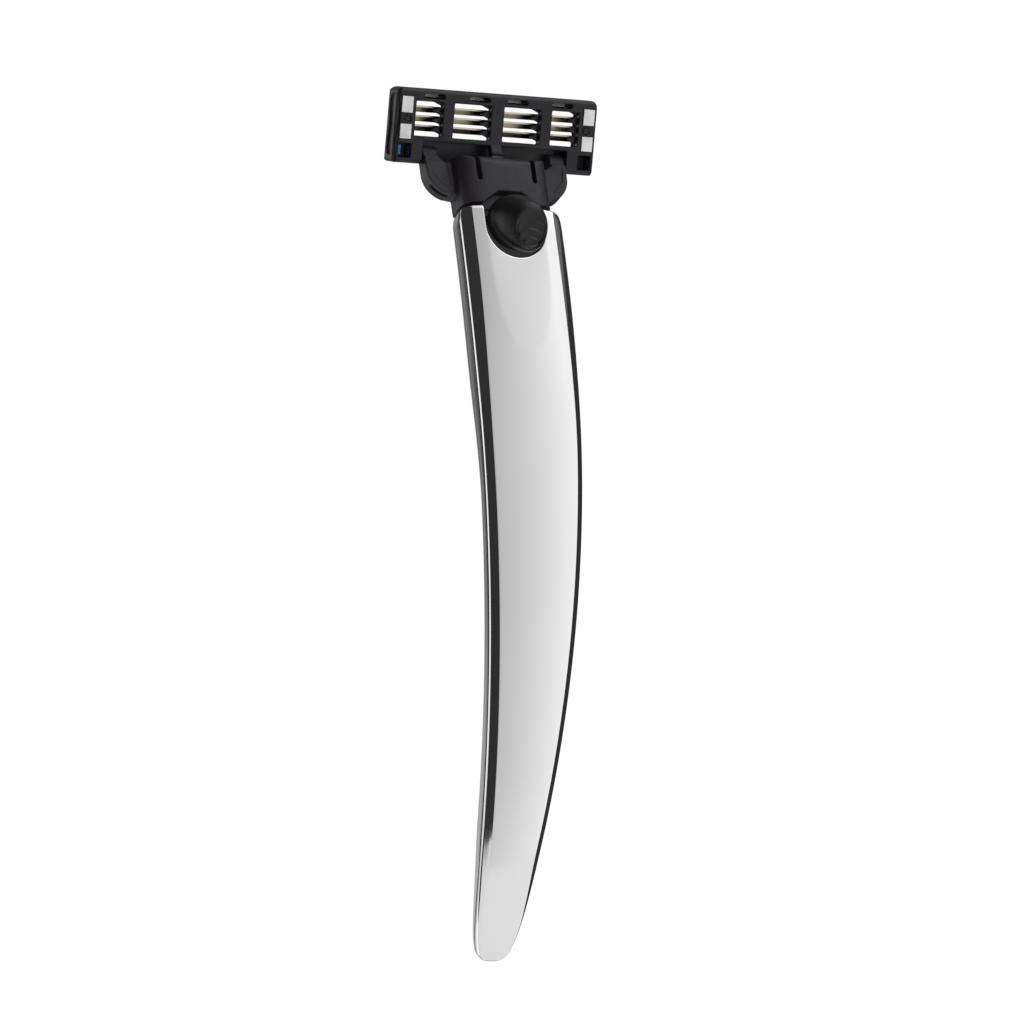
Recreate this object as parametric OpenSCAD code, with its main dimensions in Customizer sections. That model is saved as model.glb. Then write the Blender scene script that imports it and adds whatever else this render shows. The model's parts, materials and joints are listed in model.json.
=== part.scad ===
// Cartridge razor: a curved two-shell handle, a sliding release button, a docking
// nose and a pivoting three-blade cartridge.  Millimetres.
// The razor lies on a table: X is the width, +Y points to the cartridge, +Z is up
// with the button side on top.  The origin is at the middle of the base of its box.

/* [Handle] */
// Radius of the arc along the handle's front face
crown_r = 155.5; // [150:0.1:160]
// Radius of the flatter arc that runs on to the head end
head_r = 246.1; // [230:0.1:260]
// Slope at which the two arcs join, in degrees
join_slope = 8.3; // [7.5:0.1:9]
// Height of the highest point of that arc above the table
crown_z = 25.13; // [24.8:0.1:25.6]
// Place of that highest point along the handle
crown_y = -2.53; // [-3:0.01:-2]
// Slope of the handle at its head end, in degrees
head_slope = 17.9; // [17.7:0.05:18.2]
// Slope of the handle at its tail end, in degrees
tail_slope = 31.3; // [30.8:0.05:31.6]
// Half width at the widest place
half_w = 10.4; // [10:0.1:10.7]
// Loss of half width 120 mm from the widest place
half_w_taper = 5.25; // [4.8:0.05:5.7]
// Thickness at the head end
thick_head = 9.3; // [9:0.1:9.6]
// Thickness at the middle
thick_mid = 7.3; // [7:0.1:7.8]
// Thickness near the tail tip
thick_tail = 4.1; // [3.8:0.1:4.8]
// Wall of the two shells
wall = 1.3; // [1.1:0.1:1.4]

/* [Release button] */
// Radius of the button's foot
button_r = 5.8; // [5.4:0.1:6]
// Height of the button's brow above the neck axis
button_h = 13.2; // [12.4:0.1:13.6]

/* [Yoke] */
// Half width of the yoke's block
yoke_half_w = 9.2; // [8.8:0.1:9.4]
// Half span over the two arms
arm_half_span = 14.6; // [14.4:0.05:14.65]
// Radius of the pivot pins
pin_r = 1.0; // [0.8:0.05:1.1]
// Radial running clearance of the pivot pins
pin_gap = 0.05; // [0.03:0.01:0.08]

/* [Cartridge] */
// Width over the two end rims
cart_w = 41.6; // [41:0.1:42.4]
// Height from the guard edge to the cap edge
cart_h = 14.3; // [14.1:0.1:14.6]
// Thickness of the housing
cart_t = 5.0; // [4.9:0.05:5.1]
// Slope of the skin plane above the table, in degrees
cart_slope = 12.8; // [12:0.1:13.5]
// Distance from one blade to the next
blade_pitch = 1.8; // [1.7:0.05:1.85]

/* [Hidden] */
$fn = 48;

// Place of the widest section, and the length over which the taper is stated
widest_y = 47.6;
taper_len = 120;
taper_power = 2.06;
// The tail tip is rounded over this length
tip_len = 3.0;
// The shell's end at the head is rounded by this much
end_round = 0.8;
// Crown of the front face across the widest section, more of it at the head, and of the back
face_sag = 0.6;
head_sag = 0.26;
back_sag = 0.5;
// Sloping flank of the front shell: its width, and more of it at the head
flank_w = 1.35;
flank_head = 0.68;
// Edge rounding of the rear shell
rear_edge_r = 2.6;
// Gap along the parting line
part_gap = 0.04;
// The hollow starts this far from the tip and is full depth at the second distance
hollow_start = 7;
hollow_full = 16;

// The neck axis starts this far below the crown at the head end
neck_drop = 5.4;
crown_end_y = station_y(head_slope);
crown_end_z = station_z(head_slope);
neck_y = crown_end_y - neck_drop * sin(head_slope);
neck_z = crown_end_z - neck_drop * cos(head_slope);

// Guard edge of the cartridge, and the pivot within the cartridge
cart_y = 69.15;
cart_z = 0.04;
pivot_h = 2.1;
pivot_d = 3.05;
pivot_y = cart_y + pivot_h * cos(cart_slope) - pivot_d * sin(cart_slope);
pivot_z = cart_z + pivot_h * sin(cart_slope) + pivot_d * cos(cart_slope);
// The same pivot in the neck's own axes
pivot_a = (pivot_y - neck_y) * cos(head_slope) - (pivot_z - neck_z) * sin(head_slope);
pivot_b = (pivot_y - neck_y) * sin(head_slope) + (pivot_z - neck_z) * cos(head_slope);
// The cam sits this far from the pivot, this far round from the neck axis
cam_arm = 2.42;
cam_turn = 98.4;
cam_r = 0.75;
cam_h = pivot_h + cam_arm * cos(cam_turn - head_slope - cart_slope);
cam_d = pivot_d + cam_arm * sin(cam_turn - head_slope - cart_slope);
plunger_tip = pivot_a + cam_arm * cos(cam_turn) - cam_r - 0.09;

// Inside of the cartridge
guard_t = 1.5;
rail_h = 4.5;
bay_half_w = 14.9;
window_low = 5.3;
window_high = 11.9;
side_bar_x = 10.1;
side_bar_w = 2.2;
centre_bar_w = 2.6;
outer_window_x = 16.9;
slot_x = [-13.2, -3.9, 3.9, 13.2];
clip_x = 18.8;
clip_w = 2.2;
clip_t = 0.25;
blade_h = 6.42;
support_rake = 22.5;
seat_d = 0.68;

// ---------- the curved handle ----------

function ease(u) = let (v = min(1, max(0, u))) v * v * (3 - 2 * v);
function round_in(u) = sqrt(max(0, 1 - pow(1 - min(1, u), 2)));

// The crown line is two arcs that meet at join_slope; turn is the slope along it
function station_y(turn) = crown_y + crown_r * sin(min(turn, join_slope))
                           + head_r * (sin(max(turn, join_slope)) - sin(join_slope));
function station_z(turn) = crown_z - crown_r * (1 - cos(min(turn, join_slope)))
                           - head_r * (cos(join_slope) - cos(max(turn, join_slope)));
function from_tip(turn) = (turn + tail_slope) * PI / 180 * crown_r;
function from_head(turn) = (head_slope - turn) * PI / 180 * head_r;

function full_half_w(y) = half_w - half_w_taper * pow(abs(y - widest_y) / taper_len, taper_power);
function full_thick(y) = thick_mid + (thick_head - thick_mid) * ease(y / 32)
                         - (thick_mid - thick_tail) * ease((-y - 58) / 22);
function head_share(y) = ease((y - 10) / 40);
function part_depth(y) = 1.16 + 0.149 * full_thick(y) + head_sag * head_share(y);
function front_sag(y) = face_sag * pow(full_half_w(y) / half_w, 2) + head_sag * head_share(y);
function flank(y) = flank_w + flank_head * head_share(y);

// How much the rounded head end draws the outline in
function end_inset(turn) = end_round * (1 - round_in(max(0.02, from_head(turn)) / end_round));
function tip_scale(turn) = max(0.2, round_in(from_tip(turn) / tip_len));
function out_half_w(turn) = full_half_w(station_y(turn)) - tip_len * (1 - tip_scale(turn))
                            - end_inset(turn);
function front_h(turn) = part_depth(station_y(turn)) * tip_scale(turn) - end_inset(turn);
function rear_h(turn) = (full_thick(station_y(turn)) - part_depth(station_y(turn)))
                        * tip_scale(turn) - end_inset(turn);

// Half an outline of the front shell: a short upright lip, a sloping flank, the crowned
// face.  w half width, h height, c width of the flank, s sag of the face
function front_half(w, h, c, s) = let (d = min(0.6 + 0.4 * c, 0.6 * (h - s)), lip = h - s - d) concat(
    [[w, 0], [w, 0.7 * lip], [w - 0.04, lip], [w - 0.32 * c, lip + 0.42 * d],
     [w - 0.66 * c, lip + 0.76 * d], [w - 0.92 * c, lip + 0.95 * d], [w - c, lip + d]],
    [for (k = [0.72, 0.4]) [(w - c) * k, h - s * k * k]]);
// Half an outline of the rear shell: upright flank, round edge r, crowned back
function rear_half(w, h, r, s) = concat(
    [[w, 0]],
    [for (i = [0:4]) let (t = 22.5 * i) [w - r + r * cos(t), h - s - r + r * sin(t)]],
    [for (k = [0.72, 0.4]) [(w - r) * k, h - s * k * k]]);
function mirrored(half, top) = concat(half, [[0, top]],
    [for (i = [len(half) - 1:-1:0]) [-half[i][0], half[i][1]]]);
// The inner outline, from left to right along the underside of the wall
function inner_outline(w, h) = let (c = min(0.8, h * 0.4))
    [[-w, 0], [-w, h - c], [-w + c, h], [w - c, h], [w, h - c], [w, 0]];

function inner_ring(turn, h, s) = let (
    w = out_half_w(turn),
    hollow = ease((from_tip(turn) - hollow_start) / (hollow_full - hollow_start)))
    inner_outline(max(0.3 * w, w - wall - 0.1 + end_inset(turn)),
                  max(0.3 * min(1, h), (h + end_inset(turn) - s - wall) * hollow));
function front_ring(turn) = let (
    w = out_half_w(turn), h = front_h(turn), y = station_y(turn), s = front_sag(y) * min(1, h / 2))
    concat(mirrored(front_half(w, h, min(flank(y), 0.5 * w), s), h), inner_ring(turn, h, front_sag(y)));
function rear_ring(turn) = let (
    w = out_half_w(turn), h = rear_h(turn), s = back_sag * pow(w / half_w, 2) * min(1, h / 2))
    concat(mirrored(rear_half(w, h, min(rear_edge_r, 0.5 * h, 0.5 * w), s), h),
           inner_ring(turn, h, back_sag * pow(w / half_w, 2)));

// Places a section point: x across, h above the parting line
function on_handle(turn, x, h) = let (b = h - part_depth(station_y(turn)))
    [x, station_y(turn) + b * sin(turn), station_z(turn) + b * cos(turn)];

// Stations: close together round the tip and at the head end, even in between
tip_turns = [for (i = [0:6]) -tail_slope + tip_len * (1 - cos(15 * i)) / crown_r * 180 / PI];
body_turns = [for (i = [1:22]) tip_turns[6] + (join_slope - tip_turns[6]) * i / 22];
head_turns = [for (i = [1:10]) join_slope
    + (head_slope - end_round / head_r * 180 / PI - join_slope) * i / 10];
end_turns = [for (i = [1:3]) head_slope - end_round * (1 - sin(30 * i)) / head_r * 180 / PI];
turns = concat(tip_turns, body_turns, head_turns, end_turns);

// A closed skin through rings of equal length, with flat ends
module skin(rings) {
    n = len(rings[0]);
    m = len(rings);
    sides = [for (i = [0:m - 2]) for (j = [0:n - 1]) let (k = (j + 1) % n)
        [i * n + j, i * n + k, (i + 1) * n + k, (i + 1) * n + j]];
    ends = [[for (j = [n - 1:-1:0]) j], [for (j = [0:n - 1]) (m - 1) * n + j]];
    polyhedron(points = [for (r = rings) for (p = r) p], faces = concat(sides, ends),
               convexity = 6);
}

module on_neck() {
    translate([0, neck_y, neck_z]) rotate([-head_slope, 0, 0]) children();
}

module on_cartridge() {
    translate([0, cart_y, cart_z]) rotate([cart_slope, 0, 0]) children();
}

// A box from one corner to the other
module span(low, high) {
    translate(low) cube(high - low);
}

// The same shape on both sides of the middle plane
module both_sides() {
    children();
    mirror([1, 0, 0]) children();
}

// A round bar along X
module bar_x(x0, x1, y, z, r) {
    translate([x0, y, z]) rotate([0, 90, 0]) cylinder(r = r, h = x1 - x0);
}

// A prism along X with its outline in Y and Z
module prism_x(x0, x1, outline) {
    translate([x0, 0, 0]) rotate([90, 0, 90]) linear_extrude(x1 - x0) polygon(outline);
}

// Points of an arc in a flat outline
function arc(cx, cy, r, a0, a1, n = 6) =
    [for (i = [0:n]) let (t = a0 + (a1 - a0) * i / n) [cx + r * cos(t), cy + r * sin(t)]];

module front_shell() {
    color("gainsboro") difference() {
        skin([for (t = turns) [for (q = front_ring(t)) on_handle(t, q[0], q[1] + part_gap / 2)]]);
        // Recess of the button, open towards the head
        on_neck() linear_extrude(12) polygon(concat(
            arc(0, -5.2, button_r + 0.1, 180, 360, 16),
            [[button_r + 0.1, 4], [-button_r - 0.1, 4]]));
    }
}

module rear_shell() {
    color("silver")
        skin([for (t = turns) [for (q = rear_ring(t)) on_handle(t, -q[0], -q[1] - part_gap / 2)]]);
}

// Section of the weight: a chamfered bar that follows the hollow
function weight_ring(turn) = let (
    y = station_y(turn), w = full_half_w(y) - wall - 0.4, c = 1.2,
    top = part_depth(y) - wall - 1.0,
    low = part_depth(y) - full_thick(y) + wall + 0.9)
    [for (p = [[w, low + c], [w, top - c], [w - c, top], [c - w, top],
               [-w, top - c], [-w, low + c], [c - w, low], [w - c, low]])
        on_handle(turn, p[0], p[1])];

module core_weight() {
    color("darkgray") difference() {
        union() {
            skin([for (i = [0:16]) weight_ring(-22.5 + 35 * i / 16)]);
            on_neck() both_sides() span([1.7, -27, -2.2], [4.2, -15, 0.6]);
        }
        on_neck() bar_x(-9, 9, -18.5, -1.5, 0.65);
    }
}

module chassis_pin() {
    color("silver") on_neck() bar_x(-7.4, 7.4, -18.5, -1.5, 0.6);
}

// The plastic insert in the handle's head end, with the docking nose
module nose_chassis() {
    color("dimgray") on_neck() difference() {
        union() {
            span([-7.5, -22, -2.4], [7.5, -12.5, 1.9]);
            span([-6.2, -12.5, -2.1], [6.2, -0.05, 2.05]);
            span([-5.6, -0.1, -2.1], [5.6, 8.2, 2.5]);
        }
        // Channel of the plunger and bore of its spring
        span([-1.4, -11.7, -0.6], [1.4, 9, 1.6]);
        rotate([-90, 0, 0]) translate([0, -0.5, -19]) cylinder(r = 1.3, h = 8);
        both_sides() {
            // Pocket of a button spring and of the slide's lug
            span([2.1, -9.4, -0.5], [4.6, -1.3, 3]);
            // Groove of a latch spring along the nose
            span([4.9, -6.1, -0.6], [5.8, 7.2, 1.2]);
            // Slot that takes one tongue of the weight
            span([1.6, -23, -2.5], [4.3, -14.9, 0.7]);
        }
        // Bore of the pin that holds the weight
        bar_x(-9, 9, -18.5, -1.5, 0.65);
    }
}

module latch_springs() {
    color("silver") on_neck() both_sides() {
        span([5.15, -6.0, -0.5], [5.4, 7.0, 1.1]);
        translate([5.5, 5.6, -0.5]) cylinder(r = 0.4, h = 1.6);
    }
}

// Side view of the button: foot, front slope, brow, thumb ramp, rear lip
button_outline = concat(
    [[-9.4, 2.9], [1.4, 2.9], [2.3, 4.4]],
    arc(-4.9, button_h - 2.2, 2.2, 45, 119, 5),
    [[-9.0, 10.9], [-12.1, 9.5], [-12.5, 8.7], [-11.7, 7.0], [-10.2, 5.0]]);

module release_button() {
    color("#222222") on_neck() intersection() {
        prism_x(-button_r, button_r, button_outline);
        // Round in plan, drawn in towards the brow
        translate([0, -3.9, 3.0]) rotate([20, 0, 0])
            rotate_extrude() polygon([[0, -4], [button_r, -4], [button_r + 0.1, 2.2],
                [button_r - 0.4, 4.2], [button_r - 1.2, 6.2], [button_r - 2.1, 8.2],
                [button_r - 2.6, 10], [0, 11.5]]);
    }
}

// The slider under the button: plate, lugs for the springs, prongs that eject the yoke
module button_slide() {
    color("dimgray") on_neck() {
        difference() {
            span([-7.4, -11.0, 2.15], [7.4, -3.8, 2.85]);
            span([-1.0, -12, 2], [1.0, -10, 4]);
        }
        both_sides() {
            span([2.3, -9.2, -0.3], [4.4, -8.2, 2.3]);
            span([6.4, -9.0, -1.5], [7.4, -5.0, 2.3]);
            span([6.4, -9.0, -1.5], [7.4, 0.56, 1.5]);
        }
    }
}

// One close coil along Y: rings of wire, each a torus, on a thin common seam
module coil_y(y0, y1, r, wire_r, count) {
    step = (y1 - y0 - 2 * wire_r) / (count - 1);
    rotate([-90, 0, 0]) {
        for (i = [0:count - 1])
            translate([0, 0, y0 + wire_r + i * step])
                rotate_extrude($fn = 32) translate([r, 0]) circle(r = wire_r, $fn = 16);
        translate([r, 0, y0 + wire_r])
            cylinder(r = wire_r * 0.8, h = y1 - y0 - 2 * wire_r, $fn = 16);
    }
}

module button_springs() {
    color("silver") on_neck() both_sides()
        translate([3.35, 0, 0.85]) coil_y(-8.15, -1.35, 0.85, 0.17, 9);
}

module plunger() {
    color("dimgray") on_neck() {
        span([-1.3, -10.0, -0.5], [1.3, plunger_tip - 0.5, 1.5]);
        span([-1.1, plunger_tip - 0.6, -0.5], [1.1, plunger_tip, 1.5]);
    }
}

module plunger_spring() {
    color("silver") on_neck()
        translate([0, 0, 0.5]) coil_y(-18.9, -10.05, 0.95, 0.2, 9);
}

// Side view of the yoke's block, from its rear edge to the rolled front of its tongue
yoke_outline = concat(
    [[0.6, 6], [0.6, -3.7], [7.4, -3.3], [10.4, -1.9], [11.0, 0.0]],
    arc(8.0, 1.7, 3.1, 0, 90, 8), [[8.0, 6]]);

// Half of the block's section: flat below, upright flank, rounded shoulder, low crown
yoke_half_section = concat(
    [[0, -3.7], [yoke_half_w - 1.5, -3.7]],
    arc(yoke_half_w - 1.5, -2.2, 1.5, 270, 360, 4),
    arc(yoke_half_w - 1.8, 2.0, 1.8, 0, 72, 5),
    [[5.0, 4.4], [2.5, 4.7], [0, 4.8]]);

// Plan of one wing, from the block out to the arm and forward to the pivot
wing_outline = concat(
    [[8.4, 10.2], [8.4, 3.6], [10.0, 3.9]],
    arc(arm_half_span - 5.2, 8.8, 5.2, -60, 0, 6),
    [[arm_half_span, 11.8], [11.7, 11.8], [11.7, 11.4], [10.4, 10.2]]);

module yoke() {
    arm_r = 1.35;
    color("#2b2b2e") on_neck() difference() {
        union() {
            intersection() {
                prism_x(-yoke_half_w, yoke_half_w, yoke_outline);
                both_sides() rotate([90, 0, 0]) mirror([0, 0, 1])
                    linear_extrude(14) polygon(yoke_half_section);
            }
            both_sides() {
                translate([0, 0, pivot_b - arm_r]) linear_extrude(3.25) polygon(wing_outline);
                bar_x(11.7, arm_half_span, pivot_a, pivot_b, arm_r);
                span([11.7, 11.7, pivot_b - arm_r], [arm_half_span, pivot_a, pivot_b + arm_r]);
                bar_x(arm_half_span - 1, arm_half_span + 1.6, pivot_a, pivot_b, pin_r);
            }
        }
        // Socket that slides over the nose
        span([-5.7, -1, -2.2], [5.7, 8.4, 2.6]);
        // Way of the plunger and the cam through the front wall
        span([-1.6, 8, -1.1], [1.6, 12, 1.9]);
        // Notch that clears the button's foot
        translate([0, 0, 2.5]) linear_extrude(5)
            polygon([[-5.3, 0], [5.3, 0], [5.3, 0.9], [2.3, 2.9], [-2.3, 2.9], [-5.3, 0.9]]);
        both_sides() {
            // Slit beside the tongue
            span([5.35, 5.3, 2.5], [6.05, 11.5, 6]);
            // Detent that a latch spring snaps into
            translate([5.5, 5.6, -0.7]) cylinder(r = 0.55, h = 2.0);
            // Slot in the wing's lower edge
            span([10.4, 3.0, pivot_b + 0.2], [13.6, 6.2, pivot_b + 0.9]);
        }
    }
}

// Side view of the cartridge housing, guard edge at the left, skin side below
housing_outline = concat(
    arc(0.6, 0.6, 0.6, 180, 270, 4),
    arc(cart_h - 1.5, 1.4, 1.5, 270, 360, 6),
    arc(cart_h - 1.0, cart_t - 1.0, 1.0, 0, 90, 5),
    arc(0.9, cart_t - 0.9, 0.9, 90, 180, 5));

module housing_body() {
    body_half_w = cart_w / 2 - 0.4;
    prism_x(-body_half_w, body_half_w, housing_outline);
    // Raised rims round the two ends
    both_sides() difference() {
        prism_x(body_half_w - 0.1, cart_w / 2, housing_outline);
        prism_x(body_half_w, cart_w, concat(
            arc(2.2, 2.4, 1.1, 90, 270, 6), arc(cart_h - 2.4, 2.4, 1.1, -90, 90, 6)));
    }
}

module cartridge_housing() {
    color("#1c1c1f") on_cartridge() difference() {
        union() {
            difference() {
                housing_body();
                // Bay for the yoke's arms
                span([-bay_half_w, -1, guard_t], [bay_half_w, rail_h, 6]);
                // Bed of the three blades
                span([-18.6, 5.0, -1], [18.6, 12.2, 3.1]);
                // Windows behind the blades
                both_sides() {
                    span([centre_bar_w / 2, window_low, 3], [side_bar_x - side_bar_w / 2, window_high, 6]);
                    span([side_bar_x + side_bar_w / 2, window_low, 3], [outer_window_x, window_high, 6]);
                    // Pocket in the end block
                    span([17.3, 1.0, 0.9], [19.9, 3.8, 6]);
                    // Bearing of the pivot pin
                    bar_x(bay_half_w - 0.2, bay_half_w + 1.7, pivot_h, pivot_d, pin_r + pin_gap);
                    // Ways of the clip's legs and the bed of its front band
                    span([clip_x - clip_w / 2 - 0.03, 4.60, -1], [clip_x + clip_w / 2 + 0.03, 4.93, 6]);
                    span([clip_x - clip_w / 2 - 0.03, 12.37, -1], [clip_x + clip_w / 2 + 0.03, 12.70, 6]);
                    span([clip_x - clip_w / 2 - 0.03, 4.60, -1], [clip_x + clip_w / 2 + 0.03, 12.70, 0.13]);
                }
                // Drain slots in the cap rail
                for (x = slot_x) span([x - 2.15, 12.5, 1], [x + 2.15, 13.4, 6]);
                // Seat of the lubricating strip and seat of the guard fins
                span([-17.45, 12.72, -1], [17.45, 14.0, 1.2]);
                span([-19.65, 0.45, -1], [19.65, 4.05, 1.0]);
            }
            // Cam that the plunger bears on
            bar_x(-1.1, 1.1, cam_h, cam_d, cam_r);
            prism_x(-1.1, 1.1, [[cam_h - 0.3, cam_d - cam_r + 0.06], [rail_h + 0.3, 3.4],
                [rail_h + 0.3, cart_t - 0.1], [cam_h + 0.3, cam_d + cam_r - 0.06]]);
        }
    }
}

// Inclined axes of one blade: Y along the blade's width, Z away from the skin
module on_blade(k) {
    on_cartridge() translate([0, blade_h + 0.88 + (k - 1) * blade_pitch, seat_d])
        rotate([support_rake, 0, 0]) children();
}

module blade(k) {
    half_l = 17.6;
    color("lightgray") on_blade(k)
        prism_x(-half_l, half_l, [[-1.35, -0.12], [-0.2, -0.12], [-0.2, -0.22], [-1.15, -0.22]]);
}

// A strip bent so that its foot lies under the blade and its web stands square to the skin
module blade_support(k) {
    half_l = 17.2;
    function raked(y, z) = [y * cos(support_rake) - z * sin(support_rake),
                            y * sin(support_rake) + z * cos(support_rake)];
    color("tan") on_cartridge() translate([0, blade_h + 0.88 + (k - 1) * blade_pitch, seat_d])
        prism_x(-half_l, half_l, [raked(-1, -0.115), raked(0, -0.115), [0.044, 2.0],
            [-0.21, 2.0], raked(-0.186, 0.1), raked(-1, 0.1)]);
}

module blade_1() { blade(1); }
module blade_2() { blade(2); }
module blade_3() { blade(3); }
module blade_support_1() { blade_support(1); }
module blade_support_2() { blade_support(2); }
module blade_support_3() { blade_support(3); }

// A strip folded round the housing's end: front band, two legs through, two folded tabs
module clip(x) {
    w = clip_w / 2;
    back = cart_t + 0.01;
    color("whitesmoke") on_cartridge() {
        span([x - w, 4.64, -0.13], [x + w, 12.66, clip_t - 0.13]);
        span([x - w, 4.64, -0.13], [x + w, 4.64 + clip_t, back + clip_t]);
        span([x - w, 12.66 - clip_t, -0.13], [x + w, 12.66, back + clip_t]);
        span([x - w, 4.64, back], [x + w, 7.4, back + clip_t]);
        span([x - w, 9.6, back], [x + w, 12.66, back + clip_t]);
    }
}

module clip_left() { clip(-clip_x); }
module clip_right() { clip(clip_x); }

module lubricating_strip() {
    color("lightcyan") on_cartridge() span([-17.4, 12.75, -0.12], [17.4, 13.95, 1.15]);
}

module guard_fins() {
    color("steelblue") on_cartridge() {
        span([-19.6, 0.5, 0.25], [19.6, 4.0, 0.99]);
        for (h = [0.75:0.7:3.6])
            prism_x(-19.2, 19.2, [[h - 0.15, 0.3], [h - 0.05, -0.2], [h + 0.1, -0.2], [h + 0.2, 0.3]]);
    }
}

front_shell();
rear_shell();
core_weight();
nose_chassis();
chassis_pin();
latch_springs();
release_button();
button_slide();
button_springs();
plunger();
plunger_spring();
yoke();
cartridge_housing();
blade_1();
blade_2();
blade_3();
blade_support_1();
blade_support_2();
blade_support_3();
clip_left();
clip_right();
lubricating_strip();
guard_fins();
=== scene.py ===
"""Looks of a cartridge razor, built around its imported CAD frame.

Shape functions work in millimetres. Every finished piece is in metres, in the row frame.
The neck frame has its second axis along the nose (a) and its third towards the button (b).
The cartridge frame has its second axis from guard to cap (h) and its third from skin to back (d).
"""
import json
import math

import bmesh
import bpy
import numpy as np
from mathutils import Matrix, Vector


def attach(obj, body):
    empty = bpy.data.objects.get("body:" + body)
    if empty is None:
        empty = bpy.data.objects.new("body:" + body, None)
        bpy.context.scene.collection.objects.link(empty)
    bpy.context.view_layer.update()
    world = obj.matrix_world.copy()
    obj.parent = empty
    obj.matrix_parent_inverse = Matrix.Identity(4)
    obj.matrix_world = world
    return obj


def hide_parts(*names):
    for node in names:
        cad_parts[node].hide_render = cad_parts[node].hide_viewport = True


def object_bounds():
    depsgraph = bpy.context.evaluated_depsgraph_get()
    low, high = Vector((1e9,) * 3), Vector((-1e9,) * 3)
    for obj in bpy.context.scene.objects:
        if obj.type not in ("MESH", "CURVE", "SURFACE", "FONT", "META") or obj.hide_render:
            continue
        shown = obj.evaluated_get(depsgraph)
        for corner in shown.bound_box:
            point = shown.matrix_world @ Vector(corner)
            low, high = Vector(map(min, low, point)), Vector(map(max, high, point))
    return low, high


MM = 0.001
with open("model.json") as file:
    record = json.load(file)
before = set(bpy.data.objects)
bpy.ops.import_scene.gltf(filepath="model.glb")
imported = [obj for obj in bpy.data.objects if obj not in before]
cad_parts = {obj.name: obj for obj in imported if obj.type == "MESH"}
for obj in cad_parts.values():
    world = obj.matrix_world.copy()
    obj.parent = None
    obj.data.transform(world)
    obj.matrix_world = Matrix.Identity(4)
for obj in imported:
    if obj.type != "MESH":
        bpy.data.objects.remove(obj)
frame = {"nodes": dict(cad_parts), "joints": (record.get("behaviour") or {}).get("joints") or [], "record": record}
cad_box = [list(corner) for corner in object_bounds()]
joints = {j["name"]: j for j in frame["joints"]}

# ---------- the handle's shape, in millimetres and degrees ----------

# These follow the CAD source, but for a rounder end at the head
CROWN_R, HEAD_R = 155.5, 246.1
CROWN_Y, CROWN_Z = -2.53, 25.13
JOIN_SLOPE, HEAD_SLOPE, TAIL_SLOPE = 8.3, 17.9, 31.3
HALF_W, HALF_W_TAPER = 10.4, 5.25
WIDEST_Y, TAPER_LEN, TAPER_POWER = 47.6, 120, 2.06
THICK_HEAD, THICK_MID, THICK_TAIL = 9.3, 7.3, 4.1
# Where the thickness grows towards the head and drops towards the tail
THICK_GROW_LEN, THICK_DROP_START, THICK_DROP_LEN = 32, 58, 22
# Where the head's wider flank and stronger crown come in
HEAD_START, HEAD_LEN = 10, 40
# Depth of the parting line below the crown line, and the share of the thickness added to it
PART_DEPTH, PART_SHARE = 1.16, 0.149
WALL, TIP_LEN, END_ROUND = 1.3, 3.0, 1.2
FACE_SAG, HEAD_SAG, BACK_SAG = 0.6, 0.26, 0.5
FLANK_W, FLANK_HEAD, REAR_EDGE_R = 1.35, 0.68, 2.6
HOLLOW_START, HOLLOW_FULL = 7, 16
NECK_DROP = 5.4
# Round recess in the front shell: its radius, its centre's distance from the head end, its edge
RECESS_R, RECESS_U, RIM_ROUND = 5.9, 5.2, 0.35
# Groove along the parting line: how far it reaches into each shell, and its depth
GROOVE_FRONT, GROOVE_REAR, GROOVE_DEPTH = 0.07, 0.38, 0.35
# Half the gap between the shells, and the bevel on the rear shell's lip
SEAM, LIP_EDGE = 0.02, 0.04
# Soft hollow in the face behind the button
SCOOP_START, SCOOP_LEN, SCOOP_HALF_W, SCOOP_DEPTH = 11.0, 20.0, 5.9, 0.38
# Lean of the rear shell's flank
FLANK_LEAN = 0.09
# Corners of the head end, and the round end of the tail
CORNER_IN, CORNER_LEN = 0.65, 3.2
TIP_IN, TIP_IN_LEN, NOSE_IN, NOSE_LEN = 1.9, 4, 1.6, 1.8
# The front shell's flank narrows by this share, from this far before the tail's end, over this
# length
FLANK_FADE, FLANK_FADE_START, FLANK_FADE_LEN = 0.65, 24, 20

NECK_SIN = -joints["button_press"]["axis"][2]
NECK_COS = joints["button_press"]["axis"][1]
CART_SIN = -joints["blade_float_1"]["axis"][1]
CART_COS = joints["blade_float_1"]["axis"][2]
PIVOT_H, PIVOT_D = 2.1, 3.05
PIVOT = [c / MM for c in joints["head_pivot"]["pos_m"]]
CART_Y = PIVOT[1] - PIVOT_H * CART_COS + PIVOT_D * CART_SIN
CART_Z = PIVOT[2] - PIVOT_H * CART_SIN - PIVOT_D * CART_COS


def rad(angle):
    return np.radians(angle)


def ease(u):
    """A smooth step that goes from 0 to 1 as u does."""
    v = np.clip(u, 0, 1)
    return v * v * (3 - 2 * v)


def station_y(turn):
    """Place along Y of the crown line where its slope is turn."""
    low, high = np.minimum(turn, JOIN_SLOPE), np.maximum(turn, JOIN_SLOPE)
    return (CROWN_Y + CROWN_R * np.sin(rad(low))
            + HEAD_R * (np.sin(rad(high)) - math.sin(rad(JOIN_SLOPE))))


def station_z(turn):
    """Height of the crown line where its slope is turn."""
    low, high = np.minimum(turn, JOIN_SLOPE), np.maximum(turn, JOIN_SLOPE)
    return (CROWN_Z - CROWN_R * (1 - np.cos(rad(low)))
            - HEAD_R * (math.cos(rad(JOIN_SLOPE)) - np.cos(rad(high))))


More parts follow.
